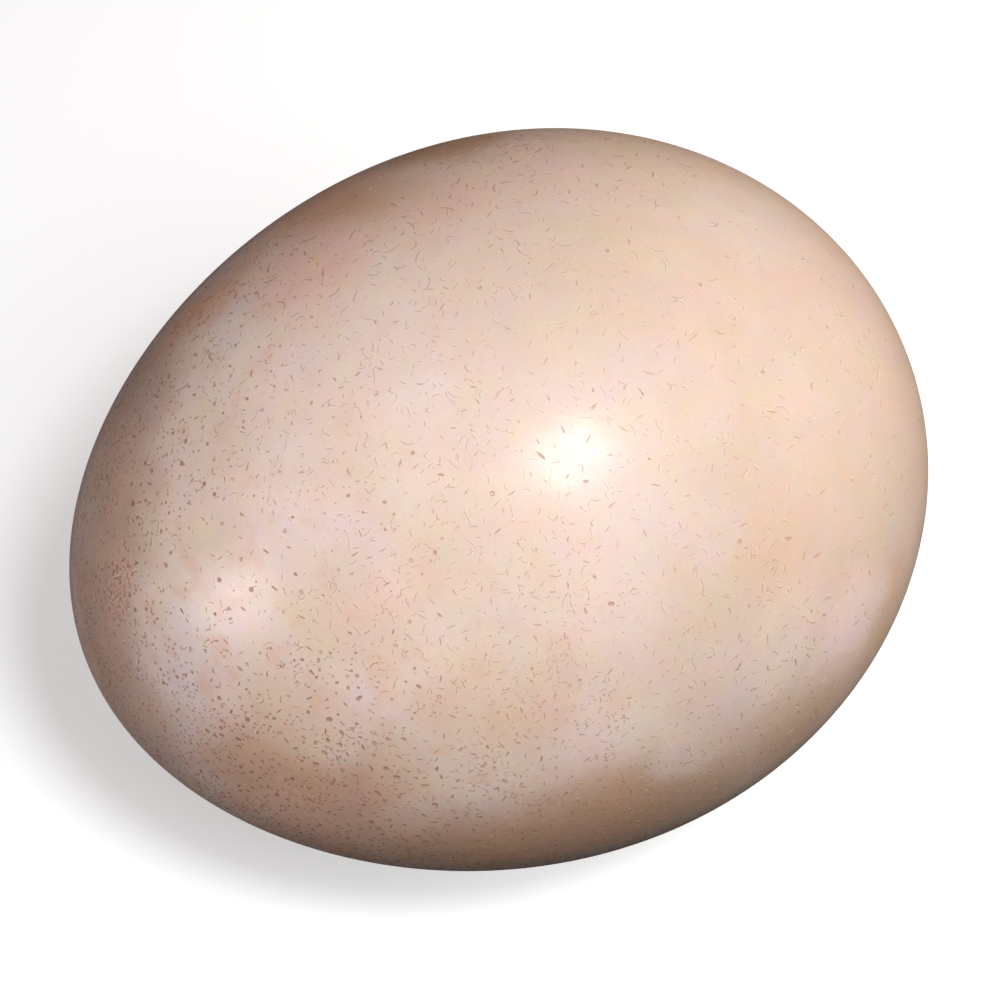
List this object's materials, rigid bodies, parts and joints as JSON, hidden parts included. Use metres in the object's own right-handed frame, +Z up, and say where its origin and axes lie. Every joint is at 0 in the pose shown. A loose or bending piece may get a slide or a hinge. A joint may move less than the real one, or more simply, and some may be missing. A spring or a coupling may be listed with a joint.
{
  "type": "fossil sauropod egg",
  "caption": "Fossil sauropod egg lying on its side: a smooth rounded ovoid, a little fuller at one end, pitted with fine pores, with a small flat spot to rest on.",
  "frame": {"origin": "middle of the flat rest spot under the egg, straight below its centre of mass", "axes": "+Z up; the long axis lies in the XZ plane with the fat end towards +X, raised 6.3 degrees as the egg comes to rest; +Y to its left"},
  "size_m": [0.299, 0.2492, 0.2487],
  "materials": {
    "shell": "smooth satin shell in cream, peach and pale rose, with fine brown pores"
  },
  "bodies": {
    "root": {"egg": "shell"}
  },
  "joints": []
}
